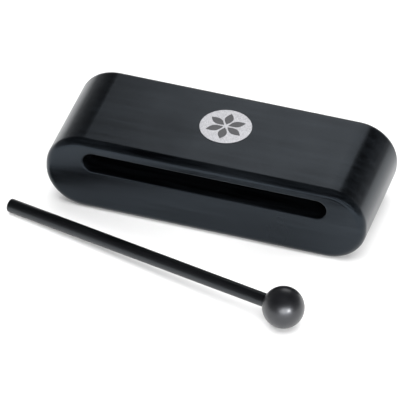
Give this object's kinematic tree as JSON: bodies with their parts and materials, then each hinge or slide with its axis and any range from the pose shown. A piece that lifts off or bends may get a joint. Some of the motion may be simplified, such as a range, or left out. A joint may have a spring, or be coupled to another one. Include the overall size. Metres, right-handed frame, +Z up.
{
  "type": "wood block",
  "caption": "Black lacquered hardwood block with round ends and a long sound slot milled in its front face, with a round badge on top, and a ball-headed wooden beater lying in front.",
  "frame": {"origin": "middle of the block's flat underside, on the surface that the block stands on", "axes": "+X along the block's length, +Y from the slotted front face to the back, +Z up"},
  "size_m": [0.2065, 0.1434, 0.0489],
  "materials": {
    "black_lacquered_wood": "satin black lacquer over hardwood, faint grain along the length",
    "pale_badge": "pale metal with a fine sparkle, matt",
    "beater_black": "satin black paint over turned hardwood"
  },
  "bodies": {
    "block": {"block_body": "black_lacquered_wood", "badge_disc": "pale_badge"},
    "beater": {"beater_stick": "beater_black", "beater_ball": "beater_black"}
  },
  "joints": [
    {"name": "beater_lift", "type": "slide", "parent": "block", "child": "beater", "axis": [0, 0, 1], "range_m": [0, 0.12]}
  ]
}
